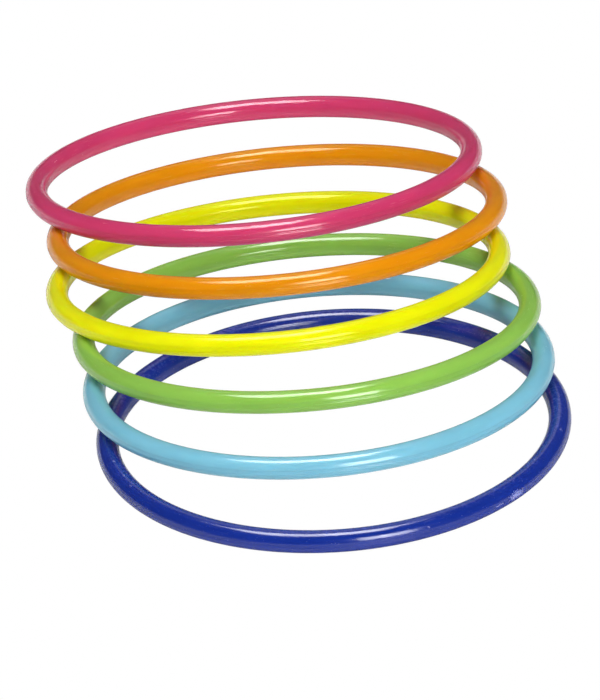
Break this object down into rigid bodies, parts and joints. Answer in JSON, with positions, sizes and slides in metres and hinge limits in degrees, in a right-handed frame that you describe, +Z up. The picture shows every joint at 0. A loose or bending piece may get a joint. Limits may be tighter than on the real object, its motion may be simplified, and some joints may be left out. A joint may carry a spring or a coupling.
{
  "type": "toss ring set",
  "caption": "Loose moulded plastic toss rings of round section, fallen in an overlapping row, each leaning on the one before it and lifting off freely.",
  "frame": {"origin": "on the table, at the middle of the bottom of the whole row's box", "axes": "+Z up, +Y along the row from the ring that lies flat to the last ring, +X to the right seen from the flat ring's side"},
  "size_m": [0.1696, 0.3006, 0.0354],
  "materials": {
    "dark_blue_plastic": "injection-moulded, glossy, dark blue through and through, with light scuffs",
    "light_blue_plastic": "injection-moulded, glossy, light blue through and through, with light scuffs",
    "green_plastic": "injection-moulded, glossy, green through and through, with light scuffs",
    "yellow_plastic": "injection-moulded, glossy, yellow through and through, with light scuffs",
    "orange_plastic": "injection-moulded, glossy, orange through and through, with light scuffs",
    "pink_plastic": "injection-moulded, glossy, pink through and through, with light scuffs"
  },
  "bodies": {
    "dark_blue": {"dark_blue_ring": "dark_blue_plastic"},
    "light_blue": {"light_blue_ring": "light_blue_plastic"},
    "green": {"green_ring": "green_plastic"},
    "yellow": {"yellow_ring": "yellow_plastic"},
    "orange": {"orange_ring": "orange_plastic"},
    "pink": {"pink_ring": "pink_plastic"}
  },
  "joints": [
    {"name": "light_blue_lift", "type": "slide", "parent": "dark_blue", "child": "light_blue", "axis": [0, 0, 1], "range_m": [0, 0.06]},
    {"name": "green_lift", "type": "slide", "parent": "light_blue", "child": "green", "axis": [0, 0, 1], "range_m": [0, 0.06]},
    {"name": "yellow_lift", "type": "slide", "parent": "green", "child": "yellow", "axis": [0, 0, 1], "range_m": [0, 0.06]},
    {"name": "orange_lift", "type": "slide", "parent": "yellow", "child": "orange", "axis": [0, 0, 1], "range_m": [0, 0.06]},
    {"name": "pink_lift", "type": "slide", "parent": "orange", "child": "pink", "axis": [0, 0, 1], "range_m": [0, 0.06]}
  ]
}
